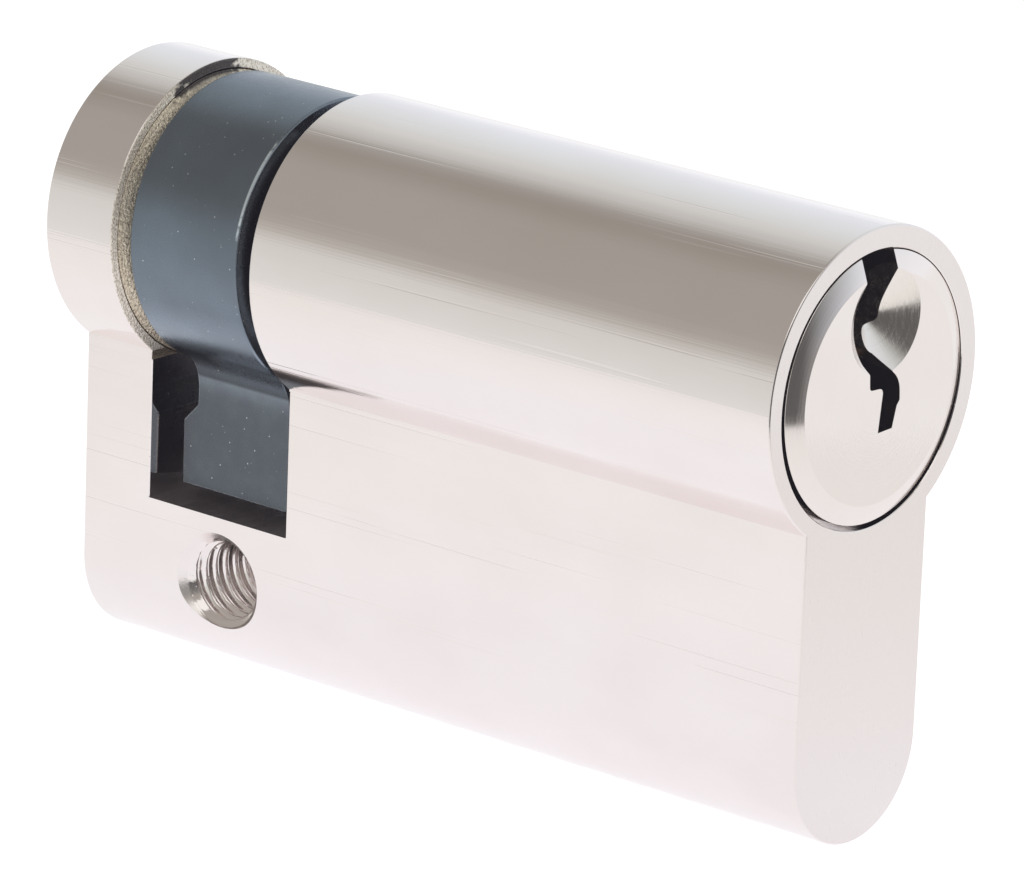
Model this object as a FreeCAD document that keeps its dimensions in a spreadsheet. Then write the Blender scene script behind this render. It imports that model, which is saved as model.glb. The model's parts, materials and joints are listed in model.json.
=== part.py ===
import FreeCAD, Part
import os
import Sketcher

# A half euro-profile cylinder: a keyed plug in a nickel-plated brass housing, which turns the cam.
# Frame: origin at the centre of the fixing screw hole, +X along the plug axis to the key side,
# +Y across the housing, +Z from the stem up to the round part.

DIMENSIONS = {
    # euro profile and housing lengths
    "front_length": 40.0,
    "rear_length": 10.0,
    "round_radius": 8.5,
    "stem_half_width": 5.0,
    "profile_height": 33.0,
    "axis_height": 19.0,
    "outline_break": 0.2,
    # cam slot
    "slot_front_x": 4.8,
    "slot_rear_x": 5.2,
    "slot_depth": 15.2,
    # fixing screw hole, tapped M5
    "fixing_hole_dia": 4.2,
    "fixing_sink_dia": 5.8,
    # bores for the plug and for the rear bearing
    "plug_bore_radius": 6.55,
    "head_bore_radius": 7.35,
    "head_bore_depth": 2.0,
    "bearing_bore_radius": 7.95,
    "bearing_bore_depth": 3.4,
    # pin chambers
    "chamber_radius": 1.5,
    "first_pin_setback": 6.0,
    "pin_pitch": 4.0,
    "pin_count": 6,
    # plug
    "plug_radius": 6.5,
    "head_radius": 7.2,
    "head_length": 1.95,
    "plug_proud": 0.35,
    "rim_bevel_width": 1.1,
    "rim_bevel_depth": 0.4,
    "tail_radius": 4.9,
    "tail_end_x": -0.4,
    "clip_groove_radius": 4.4,
    "clip_groove_front_x": 4.65,
    "clip_groove_rear_x": 3.95,
    "tongue_slot_width": 3.0,
    "tongue_slot_depth": 3.2,
    "keyway_end_x": 7.0,
    "keyway_y": -0.42,
    "keyway_z": 0.165,
    "lead_in_radius": 2.85,
    "lead_in_depth": 1.65,
    "lead_in_y": 0.23,
    "lead_in_z": 3.565,
    "plug_chamber_top": 2.2,
    "drill_tip_height": 0.87,
    # pins
    "pin_radius": 1.44,
    "shear_clearance_key": 6.42,
    "shear_clearance_driver": 6.6,
    "pin_end_flat": 0.9,
    "pin_end_drop": 0.14,
    "pin_tip_flat": 0.5,
    "pin_tip_height": 0.8,
    "driver_length": 6.0,
    "driver_chamfer": 0.25,
    "spool_waist_radius": 1.05,
    "spool_flange": 1.3,
    # springs and the plugs that close the chambers
    "spring_outer_radius": 1.3,
    "spring_inner_radius": 0.95,
    "stopper_length": 2.5,
    "stopper_bottom_z": -5.2,
    # cam
    "cam_front_x": 3.4,
    "cam_rear_x": 4.27,
    "cam_ring_radius": 8.0,
    "cam_bore_radius": 5.0,
    "cam_edge_chamfer": 0.35,
    "nose_half_width": 3.4,
    "nose_reach": 14.8,
    "nose_root_fillet": 2.8,
    "nose_neck_depth": 1.1,
    "nose_neck_bottom": 9.8,
    "nose_flare_bottom": 10.95,
    "lug_notch_width": 3.1,
    "lug_notch_radius": 6.45,
    # coupling between plug and cam
    "coupling_radius": 4.85,
    "coupling_rear_x": -1.9,
    "coupling_front_x": -0.6,
    "tongue_width": 2.8,
    "tongue_half_height": 4.2,
    "tongue_length": 3.2,
    "lug_width": 2.9,
    "lug_reach": 6.3,
    # spring clip that keeps the plug in
    "clip_inner_radius": 4.45,
    "clip_outer_radius": 6.9,
    "clip_front_x": 4.6,
    "clip_rear_x": 4.0,
    "clip_gap": 5.0,
    # rear bearing, pressed into the short end of the housing
    "bearing_radius": 7.95,
    "bearing_depth": 3.3,
    "bearing_rim_chamfer": 0.12,
    "bearing_shoulder_radius": 6.6,
    "bearing_shoulder_x": -4.7,
    "bearing_stub_radius": 4.9,
    "bearing_stub_x": -2.1,
}

# Length of each key pin, from the front of the plug to the back: one key's cuts.
KEY_PIN_LENGTHS = [5.6, 7.4, 6.2, 4.9, 6.8, 5.9]
# Driver pins waisted like a spool, which resist picking.
SPOOL_POSITIONS = (2, 5)

doc = FreeCAD.newDocument("EuroCylinder")
sheet = doc.addObject("Spreadsheet::Sheet", "dims")
for row, (alias, value) in enumerate(DIMENSIONS.items(), start=1):
    sheet.set(f"A{row}", alias)
    sheet.set(f"B{row}", str(value))
    sheet.setAlias(f"B{row}", alias)
for pin, length in enumerate(KEY_PIN_LENGTHS, start=1):
    row = len(DIMENSIONS) + pin
    sheet.set(f"A{row}", f"key_pin_length_{pin}")
    sheet.set(f"B{row}", str(length))
    sheet.setAlias(f"B{row}", f"key_pin_length_{pin}")
doc.recompute()

SUB_PARTS = []


def dim(alias):
    """A driving dimension's value, for points that a sketch takes before it is constrained."""
    return float(sheet.get(alias))


def vec(u, v):
    return FreeCAD.Vector(u, v, 0)


def new_body(label, x="0", z="0"):
    """A body for one sub-part, placed by expressions for its X and Z."""
    body = doc.addObject("PartDesign::Body", label)
    body.Label = label
    body.setExpression("Placement.Base.x", x)
    body.setExpression("Placement.Base.z", z)
    SUB_PARTS.append(body)
    return body


def new_sketch(body, name, plane, offset=None):
    """A sketch on one of the body's own planes; offset maps an axis of the plane to an expression."""
    sketch = body.newObject("Sketcher::SketchObject", f"{body.Name}_{name}")
    support = next(f for f in body.Origin.OriginFeatures if f.Role == plane)
    sketch.AttachmentSupport = [(support, "")]
    sketch.MapMode = "FlatFace"
    for axis, expression in (offset or {}).items():
        sketch.setExpression(f"AttachmentOffset.Base.{axis}", expression)
    return sketch


def feature(body, kind, name, profile, **settings):
    """A PartDesign feature from a profile; a setting given as text is an expression."""
    made = body.newObject(f"PartDesign::{kind}", f"{body.Name}_{name}")
    made.Profile = profile
    for key, value in settings.items():
        if isinstance(value, str) and not key.endswith("Type"):
            made.setExpression(key, value)
        else:
            setattr(made, key, value)
    body.Tip = made
    return made


def evaluate(expression):
    """The number that an expression of the sheet gives."""
    return float(sheet.evalExpression(expression.replace("dims.", "")))


def hold(sketch, geometry, end, u, v):
    """Bind one point of a geometry to expressions for its sketch coordinates."""
    for kind, expression, axis in (("DistanceX", u, -2), ("DistanceY", v, -1)):
        value = evaluate(expression)
        if abs(value) < 1e-9:
            sketch.addConstraint(Sketcher.Constraint("PointOnObject", geometry, end, axis))
            continue
        index = sketch.addConstraint(Sketcher.Constraint(kind, -1, 1, geometry, end, value))
        sketch.setExpression(f"Constraints[{index}]", expression)


def outline(sketch, corners):
    """A closed outline through corners given as pairs of expressions."""
    values = [vec(evaluate(u), evaluate(v)) for u, v in corners]
    first = sketch.GeometryCount
    count = len(values)
    for start, stop in zip(values, values[1:] + values[:1]):
        sketch.addGeometry(Part.LineSegment(start, stop), False)
    for i in range(count):
        following = first + (i + 1) % count
        sketch.addConstraint(Sketcher.Constraint("Coincident", first + i, 2, following, 1))
    for i, (u, v) in enumerate(corners):
        hold(sketch, first + i, 1, u, v)


def rectangle(sketch, low_u, high_u, low_v, high_v):
    outline(sketch, [(low_u, low_v), (high_u, low_v), (high_u, high_v), (low_u, high_v)])


def turned(label, corners, x="0", z="0", about="H_Axis"):
    """A turned sub-part: half its section, revolved about one of the sketch's axes."""
    body = new_body(label, x, z)
    sketch = new_sketch(body, "section", "XZ_Plane")
    outline(sketch, corners)
    feature(body, "Revolution", "turning", sketch, ReferenceAxis=(sketch, [about]), Angle=360.0)
    return body


def groove(body, name, corners, about="H_Axis", offset=None):
    """A turned cut: half its section, revolved about one of the sketch's axes."""
    sketch = new_sketch(body, name + "_section", "XZ_Plane", offset)
    outline(sketch, corners)
    return feature(body, "Groove", name, sketch, ReferenceAxis=(sketch, [about]), Angle=360.0)


def repeat_chambers(body, chamber):
    """Repeat the rearmost pin chamber along the plug axis, one for each pin."""
    pattern = body.newObject("PartDesign::LinearPattern", f"{body.Name}_chambers")
    pattern.Originals = [chamber]
    pattern.Direction = (chamber.Profile[0], ["H_Axis"])
    pattern.setExpression("Length", "(dims.pin_count - 1) * dims.pin_pitch")
    pattern.Occurrences = len(KEY_PIN_LENGTHS)
    body.Tip = pattern


def face_outline(shape, x):
    """Names of the edges around the outside of the end face at x."""
    flat = [f for f in shape.Faces if abs(f.BoundBox.XMin - x) < 1e-6 and f.BoundBox.XLength < 1e-6]
    rim = max(flat, key=lambda f: f.Area).OuterWire.Edges
    return [f"Edge{i}" for i, edge in enumerate(shape.Edges, 1) if any(edge.isSame(r) for r in rim)]


REAR_PIN_X = "dims.front_length - dims.first_pin_setback - (dims.pin_count - 1) * dims.pin_pitch"
STEM_CENTRE_Z = "dims.axis_height + dims.round_radius - dims.profile_height + dims.stem_half_width"
HEAD_BACK_X = "dims.front_length - dims.head_length"
PLUG_FACE_X = "dims.front_length + dims.plug_proud"
HEAD_BORE_X = "dims.front_length - dims.head_bore_depth"


def pin_x(number):
    """Where a pin stands along the axis, counted from the front of the plug."""
    return f"dims.front_length - dims.first_pin_setback - {number - 1} * dims.pin_pitch"


def make_housing():
    """The brass housing: euro profile, cam slot, bores, six pin chambers and the fixing screw hole."""
    body = new_body("cylinder_body")
    profile_sketch = new_sketch(body, "profile", "YZ_Plane", {"z": "-dims.rear_length"})
    draw_euro_profile(profile_sketch)
    feature(body, "Pad", "bar", profile_sketch, Length="dims.rear_length + dims.front_length")

    slot = new_sketch(body, "slot_side", "XZ_Plane")
    rectangle(slot, "-dims.slot_rear_x", "dims.slot_front_x",
              "dims.axis_height - dims.slot_depth", "dims.axis_height + dims.round_radius + 1")
    feature(body, "Pocket", "cam_slot", slot, Midplane=True, Length="2 * dims.round_radius + 2")

    on_axis = {"y": "dims.axis_height"}
    groove(body, "plug_bore", [
        ("dims.slot_front_x - 1", "0"), ("dims.front_length + 1", "0"),
        ("dims.front_length + 1", "dims.head_bore_radius"), (HEAD_BORE_X, "dims.head_bore_radius"),
        (HEAD_BORE_X, "dims.plug_bore_radius"), ("dims.slot_front_x - 1", "dims.plug_bore_radius"),
    ], offset=on_axis)
    bearing_floor = "-dims.slot_rear_x - dims.bearing_bore_depth"
    groove(body, "bearing_bore", [
        (bearing_floor, "0"), ("1 - dims.slot_rear_x", "0"),
        ("1 - dims.slot_rear_x", "dims.bearing_bore_radius"), (bearing_floor, "dims.bearing_bore_radius"),
    ], offset=on_axis)

    chamber_low = "dims.axis_height + dims.round_radius - dims.profile_height - 1"
    chamber_high = "dims.axis_height - dims.plug_bore_radius + 1"
    chamber = groove(body, "chamber", [
        ("0", chamber_low), ("dims.chamber_radius", chamber_low),
        ("dims.chamber_radius", chamber_high), ("0", chamber_high),
    ], about="V_Axis", offset={"x": REAR_PIN_X})
    repeat_chambers(body, chamber)

    drill = new_sketch(body, "fixing_hole_centre", "XZ_Plane", {"z": "dims.stem_half_width"})
    drill.addGeometry(Part.Circle(vec(0, 0), FreeCAD.Vector(0, 0, 1), 1.0), False)
    drill.addConstraint(Sketcher.Constraint("Coincident", 0, 3, -1, 1))
    doc.recompute()
    hole = feature(body, "Hole", "fixing_hole", drill)
    hole.DepthType = "Dimension"
    hole.DrillPoint = "Flat"
    hole.HoleCutType = "Countersink"
    hole.setExpression("Diameter", "dims.fixing_hole_dia")
    hole.setExpression("Depth", "dims.stem_half_width + 0.5")
    hole.setExpression("HoleCutDiameter", "dims.fixing_sink_dia")
    hole.HoleCutCountersinkAngle = 90.0
    mirror = body.newObject("PartDesign::Mirrored", "far_fixing_hole")
    mirror.Originals = [hole]
    mirror.MirrorPlane = (next(f for f in body.Origin.OriginFeatures if f.Role == "XZ_Plane"), [""])
    body.Tip = mirror
    doc.recompute()

    ends = face_outline(body.Shape, dim("front_length")) + face_outline(body.Shape, -dim("rear_length"))
    breaks = body.newObject("PartDesign::Chamfer", "end_breaks")
    breaks.Base = (mirror, ends)
    breaks.setExpression("Size", "dims.outline_break")
    body.Tip = breaks


def draw_euro_profile(sketch):
    """A circle on a stem with a round foot, each held by its radius and its centre."""
    top, foot, half = dim("axis_height"), evaluate(STEM_CENTRE_Z), dim("stem_half_width")
    radius = dim("round_radius")
    join = top - (radius ** 2 - half ** 2) ** 0.5
    round_part = Part.Arc(vec(half, join), vec(0, top + radius), vec(-half, join))
    round_foot = Part.Arc(vec(-half, foot), vec(0, foot - half), vec(half, foot))
    sketch.addGeometry([round_part, Part.LineSegment(vec(-half, join), vec(-half, foot)), round_foot,
                        Part.LineSegment(vec(half, foot), vec(half, join))], False)
    for kind, here, there in (("Coincident", 0, 1), ("Tangent", 1, 2), ("Tangent", 2, 3), ("Coincident", 3, 0)):
        sketch.addConstraint(Sketcher.Constraint(kind, here, 2, there, 1))
    sketch.addConstraint(Sketcher.Constraint("Vertical", 1))
    sketch.addConstraint(Sketcher.Constraint("Vertical", 3))
    hold(sketch, 0, 3, "0", "dims.axis_height")
    hold(sketch, 2, 3, "0", STEM_CENTRE_Z)
    for arc, alias in ((0, "round_radius"), (2, "stem_half_width")):
        index = sketch.addConstraint(Sketcher.Constraint("Radius", arc, dim(alias)))
        sketch.setExpression(f"Constraints[{index}]", f"dims.{alias}")


def draw_keyway(sketch):
    """The warded keyway, open at the top of the plug: straight, then bent round a ward on the right."""
    top = dim("head_radius") + 0.5
    sketch.addGeometry([
        Part.LineSegment(vec(-1.1, top), vec(-1.1, 5.2)),
        Part.Arc(vec(-1.1, 5.2), vec(-1.5, 3.1), vec(-0.95, 1.35)),
        Part.LineSegment(vec(-0.95, 1.35), vec(-0.45, 0.75)),
        Part.LineSegment(vec(-0.45, 0.75), vec(-0.4, 0.1)),
        Part.Arc(vec(-0.4, 0.1), vec(-0.34, -0.06), vec(-0.18, -0.12)),
        Part.LineSegment(vec(-0.18, -0.12), vec(0.45, -0.15)),
        Part.Arc(vec(0.45, -0.15), vec(0.64, -0.26), vec(0.7, -0.48)),
        Part.LineSegment(vec(0.7, -0.48), vec(0.45, -2.5)),
        Part.LineSegment(vec(0.45, -2.5), vec(1.6, -2.45)),
        Part.LineSegment(vec(1.6, -2.45), vec(1.92, -1.3)),
        Part.LineSegment(vec(1.92, -1.3), vec(2.14, -1.05)),
        Part.LineSegment(vec(2.14, -1.05), vec(2.1, -0.5)),
        Part.Arc(vec(2.1, -0.5), vec(1.9, 0.1), vec(1.5, 0.52)),
        Part.LineSegment(vec(1.5, 0.52), vec(0.4, 1.62)),
        Part.Arc(vec(0.4, 1.62), vec(-0.02, 2.3), vec(0.45, 2.88)),
        Part.LineSegment(vec(0.45, 2.88), vec(1.15, 3.02)),
        Part.Arc(vec(1.15, 3.02), vec(1.4, 3.15), vec(1.5, 3.45)),
        Part.LineSegment(vec(1.5, 3.45), vec(1.5, top)),
        Part.LineSegment(vec(1.5, top), vec(-1.1, top)),
    ], False)
    for i in range(sketch.GeometryCount):
        sketch.addConstraint(Sketcher.Constraint("Block", i))


def make_plug():
    """The keyed plug, turned with a collar in front and a slotted tail that drives the coupling."""
    body = turned("plug", [
        ("dims.tail_end_x", "0"), (PLUG_FACE_X, "0"),
        (PLUG_FACE_X, "dims.head_radius - dims.rim_bevel_width"),
        (PLUG_FACE_X + " - dims.rim_bevel_depth", "dims.head_radius"),
        (HEAD_BACK_X, "dims.head_radius"), (HEAD_BACK_X, "dims.plug_radius"),
        ("dims.slot_front_x", "dims.plug_radius"), ("dims.slot_front_x", "dims.tail_radius"),
        ("dims.clip_groove_front_x", "dims.tail_radius"),
        ("dims.clip_groove_front_x", "dims.clip_groove_radius"),
        ("dims.clip_groove_rear_x", "dims.clip_groove_radius"),
        ("dims.clip_groove_rear_x", "dims.tail_radius"), ("dims.tail_end_x", "dims.tail_radius"),
    ], z="dims.axis_height")

    slot = new_sketch(body, "tongue_slot_top", "XY_Plane")
    half_width = "dims.tongue_slot_width / 2"
    rectangle(slot, "dims.tail_end_x - 1", "dims.tail_end_x + dims.tongue_slot_depth",
              "-" + half_width, half_width)
    feature(body, "Pocket", "tongue_slot", slot, Midplane=True, Length="2 * dims.tail_radius + 2")

    keyway = new_sketch(body, "keyway_outline", "YZ_Plane",
                        {"x": "dims.keyway_y", "y": "dims.keyway_z", "z": PLUG_FACE_X})
    draw_keyway(keyway)
    feature(body, "Pocket", "keyway", keyway, Length=PLUG_FACE_X + " - dims.keyway_end_x")

    lead_in = body.newObject("PartDesign::SubtractiveCone", "key_lead_in")
    lead_in.Placement.Rotation = FreeCAD.Rotation(FreeCAD.Vector(0, 1, 0), -90)
    lead_in.setExpression("Placement.Base.x", PLUG_FACE_X)
    lead_in.setExpression("Placement.Base.y", "dims.lead_in_y")
    lead_in.setExpression("Placement.Base.z", "dims.lead_in_z")
    lead_in.setExpression("Radius1", "dims.lead_in_radius")
    lead_in.Radius2 = 0.0
    lead_in.setExpression("Height", "dims.lead_in_depth")
    body.Tip = lead_in

    low = "-dims.plug_radius - 1"
    chamber = groove(body, "chamber", [
        ("0", low), ("dims.chamber_radius", low), ("dims.chamber_radius", "dims.plug_chamber_top"),
        ("0", "dims.plug_chamber_top + dims.drill_tip_height"),
    ], about="V_Axis", offset={"x": REAR_PIN_X})
    repeat_chambers(body, chamber)


def make_pin_stack(number):
    """One pin stack: key pin, driver pin, spring and the stopper that closes the chamber."""
    where = pin_x(number)
    length = f"dims.key_pin_length_{number}"
    turned(f"key_pin_{number}", [
        ("0", "0"), ("dims.pin_end_flat", "0"), ("dims.pin_radius", "dims.pin_end_drop"),
        ("dims.pin_radius", length + " - dims.pin_tip_height"), ("dims.pin_tip_flat", length),
        ("0", length),
    ], x=where, z="dims.axis_height - dims.shear_clearance_key", about="V_Axis")

    driver_top = "dims.axis_height - dims.shear_clearance_driver"
    turned(f"driver_pin_{number}", driver_section(number in SPOOL_POSITIONS), x=where, z=driver_top,
           about="V_Axis")

    spring_foot = "dims.stopper_bottom_z + dims.stopper_length"
    height = f"{driver_top} - dims.driver_length - dims.stopper_bottom_z - dims.stopper_length"
    turned(f"spring_{number}", [
        ("dims.spring_inner_radius", "0"), ("dims.spring_outer_radius", "0"),
        ("dims.spring_outer_radius", height), ("dims.spring_inner_radius", height),
    ], x=where, z=spring_foot, about="V_Axis")

    turned(f"chamber_stopper_{number}", [
        ("0", "0"), ("dims.chamber_radius", "0"), ("dims.chamber_radius", "dims.stopper_length"),
        ("0", "dims.stopper_length"),
    ], x=where, z="dims.stopper_bottom_z", about="V_Axis")


def driver_section(spool):
    """Half the section of a driver pin, from its top down; a spool is waisted between its flanges."""
    rim = "dims.pin_radius - dims.driver_chamfer"
    corners = [("0", "0"), (rim, "0"), ("dims.pin_radius", "-dims.driver_chamfer")]
    if spool:
        corners += [
            ("dims.pin_radius", "-dims.spool_flange"), ("dims.spool_waist_radius", "-dims.spool_flange"),
            ("dims.spool_waist_radius", "dims.spool_flange - dims.driver_length"),
            ("dims.pin_radius", "dims.spool_flange - dims.driver_length"),
        ]
    corners += [("dims.pin_radius", "dims.driver_chamfer - dims.driver_length"),
                (rim, "-dims.driver_length"), ("0", "-dims.driver_length")]
    return corners


def make_cam():
    """The cam: a ring around the axis with a nose that hangs in the slot and throws the bolt."""
    ring_rim = "dims.cam_ring_radius - dims.cam_edge_chamfer"
    body = turned("cam", [
        ("-dims.cam_rear_x", "dims.cam_bore_radius"), ("dims.cam_front_x", "dims.cam_bore_radius"),
        ("dims.cam_front_x", ring_rim), ("dims.cam_front_x - dims.cam_edge_chamfer", "dims.cam_ring_radius"),
        ("dims.cam_edge_chamfer - dims.cam_rear_x", "dims.cam_ring_radius"),
        ("-dims.cam_rear_x", ring_rim),
    ], z="dims.axis_height")

    nose = new_sketch(body, "nose_side", "XZ_Plane")
    neck_rear = "dims.nose_neck_depth - dims.cam_rear_x"
    root = "-dims.cam_ring_radius + 1.6"
    outline(nose, [
        (neck_rear, root), (neck_rear, "-dims.nose_neck_bottom"),
        ("-dims.cam_rear_x", "-dims.nose_flare_bottom"), ("-dims.cam_rear_x", "-dims.nose_reach - 1"),
        ("dims.cam_front_x", "-dims.nose_reach - 1"), ("dims.cam_front_x", root),
    ])
    feature(body, "Pad", "nose", nose, Midplane=True, Length="2 * dims.nose_half_width")
    groove(body, "nose_tip", [
        ("-dims.cam_rear_x - 1", "dims.nose_reach"), ("dims.cam_front_x + 1", "dims.nose_reach"),
        ("dims.cam_front_x + 1", "dims.nose_reach + 3"), ("-dims.cam_rear_x - 1", "dims.nose_reach + 3"),
    ])

    notch = new_sketch(body, "lug_notch_end", "YZ_Plane")
    half_width = "dims.lug_notch_width / 2"
    rectangle(notch, "-" + half_width, half_width, "-dims.lug_notch_radius", "dims.lug_notch_radius")
    notches = feature(body, "Pocket", "lug_notches", notch, Midplane=True, Length="4 * dims.cam_rear_x")
    doc.recompute()

    sides = []
    for i, edge in enumerate(body.Shape.Edges, 1):
        middle = edge.BoundBox.Center - body.Placement.Base
        along_x = edge.BoundBox.YLength < 1e-6 and edge.BoundBox.ZLength < 1e-6
        at_side = abs(abs(middle.y) - dim("nose_half_width")) < 1e-6
        at_ring = abs((middle.y ** 2 + middle.z ** 2) ** 0.5 - dim("cam_ring_radius")) < 1e-4
        if along_x and at_side and at_ring:
            sides.append(f"Edge{i}")
    fillet = body.newObject("PartDesign::Fillet", "nose_root")
    fillet.Base = (notches, sides)
    fillet.setExpression("Radius", "dims.nose_root_fillet")
    body.Tip = fillet


def make_coupling():
    """The coupling: its tongue sits in the plug's tail and its two lugs turn the cam."""
    body = turned("coupling", [
        ("dims.coupling_rear_x", "0"), ("dims.coupling_front_x", "0"),
        ("dims.coupling_front_x", "dims.coupling_radius"), ("dims.coupling_rear_x", "dims.coupling_radius"),
    ], z="dims.axis_height")
    lugs = new_sketch(body, "lugs_end", "YZ_Plane", {"z": "dims.coupling_rear_x"})
    rectangle(lugs, "-dims.lug_width / 2", "dims.lug_width / 2", "-dims.lug_reach", "dims.lug_reach")
    feature(body, "Pad", "lugs", lugs, Length="dims.coupling_front_x - dims.coupling_rear_x")
    tongue = new_sketch(body, "tongue_end", "YZ_Plane", {"z": "dims.coupling_front_x"})
    rectangle(tongue, "-dims.tongue_width / 2", "dims.tongue_width / 2",
              "-dims.tongue_half_height", "dims.tongue_half_height")
    feature(body, "Pad", "tongue", tongue, Length="dims.tongue_length")


def make_clip():
    """The open spring clip in the tail's groove, which keeps the plug in the housing."""
    body = turned("retaining_clip", [
        ("dims.clip_rear_x", "dims.clip_inner_radius"), ("dims.clip_front_x", "dims.clip_inner_radius"),
        ("dims.clip_front_x", "dims.clip_outer_radius"), ("dims.clip_rear_x", "dims.clip_outer_radius"),
    ], z="dims.axis_height")
    gap = new_sketch(body, "gap_end", "YZ_Plane")
    rectangle(gap, "-dims.clip_gap / 2", "dims.clip_gap / 2", "1", "dims.clip_outer_radius + 1")
    feature(body, "Pocket", "gap", gap, Midplane=True, Length="4 * dims.clip_front_x")


def make_bearing():
    """The rear bearing: a flanged stub in the short end, on which the cam turns."""
    turned("rear_bearing", [
        ("-dims.slot_rear_x - dims.bearing_depth", "0"), ("dims.bearing_stub_x", "0"),
        ("dims.bearing_stub_x", "dims.bearing_stub_radius"),
        ("dims.bearing_shoulder_x", "dims.bearing_stub_radius"),
        ("dims.bearing_shoulder_x", "dims.bearing_shoulder_radius"),
        ("-dims.slot_rear_x", "dims.bearing_shoulder_radius"),
        ("-dims.slot_rear_x", "dims.bearing_radius - dims.bearing_rim_chamfer"),
        ("-dims.slot_rear_x - dims.bearing_rim_chamfer", "dims.bearing_radius"),
        ("-dims.slot_rear_x - dims.bearing_depth", "dims.bearing_radius"),
    ], z="dims.axis_height")


def check_model():
    """Stop on any failed object or bad solid before a file is written."""
    for item in doc.Objects:
        if "Invalid" in item.State or "Error" in item.State:
            raise RuntimeError(f"{item.Label} failed: {item.State}")
    for body in SUB_PARTS:
        if body.Shape.isNull() or not body.Shape.isValid() or len(body.Shape.Solids) != 1:
            raise RuntimeError(f"{body.Label} isn't one valid solid")


make_housing()
make_plug()
make_cam()
make_coupling()
make_clip()
make_bearing()
for pin_number in range(1, len(KEY_PIN_LENGTHS) + 1):
    make_pin_stack(pin_number)
doc.recompute()
check_model()
os.makedirs("parts", exist_ok=True)
for sub_part in SUB_PARTS:
    sub_part.Shape.exportStep(f"parts/{sub_part.Label}.step")
    print(sub_part.Label, round(sub_part.Shape.Volume, 2))
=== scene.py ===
import json
import math

import bmesh
import bpy
from mathutils import Matrix, Vector


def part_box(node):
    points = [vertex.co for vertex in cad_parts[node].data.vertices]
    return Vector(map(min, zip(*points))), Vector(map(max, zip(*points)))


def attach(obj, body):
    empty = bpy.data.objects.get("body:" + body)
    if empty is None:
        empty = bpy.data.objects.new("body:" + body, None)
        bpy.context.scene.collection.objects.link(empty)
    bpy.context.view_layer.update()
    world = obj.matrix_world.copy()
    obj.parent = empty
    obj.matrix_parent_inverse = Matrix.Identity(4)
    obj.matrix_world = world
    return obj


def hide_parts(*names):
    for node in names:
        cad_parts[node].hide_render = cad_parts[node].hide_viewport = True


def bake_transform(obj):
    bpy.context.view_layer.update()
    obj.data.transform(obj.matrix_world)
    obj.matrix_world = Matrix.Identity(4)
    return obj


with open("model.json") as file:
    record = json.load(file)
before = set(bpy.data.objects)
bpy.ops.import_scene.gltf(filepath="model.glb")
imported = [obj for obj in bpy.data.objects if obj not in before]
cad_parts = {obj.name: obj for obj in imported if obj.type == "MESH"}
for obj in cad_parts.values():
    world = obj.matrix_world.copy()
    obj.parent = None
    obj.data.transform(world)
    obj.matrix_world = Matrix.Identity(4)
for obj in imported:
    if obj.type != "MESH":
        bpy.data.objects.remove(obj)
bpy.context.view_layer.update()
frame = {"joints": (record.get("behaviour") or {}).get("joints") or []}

# The looks of a half euro-profile cylinder. Lengths are millimetres in the frame of the fixing hole,
# +X to the keyed face and +Z up to the barrel, and become metres when a mesh is made.
MM = 0.001


def box_mm(node):
    """Lowest and highest corner of a CAD node, in millimetres."""
    low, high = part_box(node)
    return Vector(low) / MM, Vector(high) / MM


# ---------------------------------------------------------------- sizes
HOUSING_LOW, HOUSING_HIGH = box_mm("cylinder_body")
PLUG_LOW, PLUG_HIGH = box_mm("plug")
CAM_LOW, CAM_HIGH = box_mm("cam")
BEARING_LOW, BEARING_HIGH = box_mm("rear_bearing")
CLIP_LOW, CLIP_HIGH = box_mm("retaining_clip")

turn_joint = next(j for j in frame["joints"] if j["name"] == "plug_turn")
AXIS_Z = turn_joint["pos_m"][2] / MM
FRONT_X, REAR_X = HOUSING_HIGH.x, HOUSING_LOW.x
PLUG_FACE_X = PLUG_HIGH.x
BARREL_R = HOUSING_HIGH.z - AXIS_Z
STEM_R = 5.0
FOOT_Z = HOUSING_LOW.z + STEM_R
END_ROUND = 0.12

SLOT_FRONT_X, SLOT_REAR_X = 4.8, -5.2
SLOT_FLOOR_Z = 3.8
SLOT_CHAMFER = 0.08
PLUG_BORE_R = 6.55
HEAD_BORE_X = 38.0
BEARING_BORE_R = 7.95
BEARING_SHOULDER_X = -4.7
BEARING_RIM_R, BEARING_STUB_R = 7.2, 4.9
BORE_MOUTH = 0.04
HEAD_SAG = Vector((-0.11, -0.09))
HEAD_LIP_R = 7.38

THREAD_MINOR_R, THREAD_MAJOR_R = 2.1, 2.5
THREAD_PITCH = 0.8
SINK_R = 2.9

CHAMBER_R = 1.5
PLUG_CHAMBER_RISE = 2.2
PIN_COUNT = 6
PIN_X = [(box_mm(f"key_pin_{i}")[0].x + box_mm(f"key_pin_{i}")[1].x) / 2 for i in range(1, PIN_COUNT + 1)]
SPOOLS = (2, 5)
PIN_R, PIN_BEVEL, PIN_ROUND = 1.44, 0.25, 0.06
WAIST_R, SPOOL_END = 1.05, 1.3
STOPPER_BEVEL, STOPPER_ROUND = 0.15, 0.05
WIRE_R, COIL_TURNS = 0.16, 12.0

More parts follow.
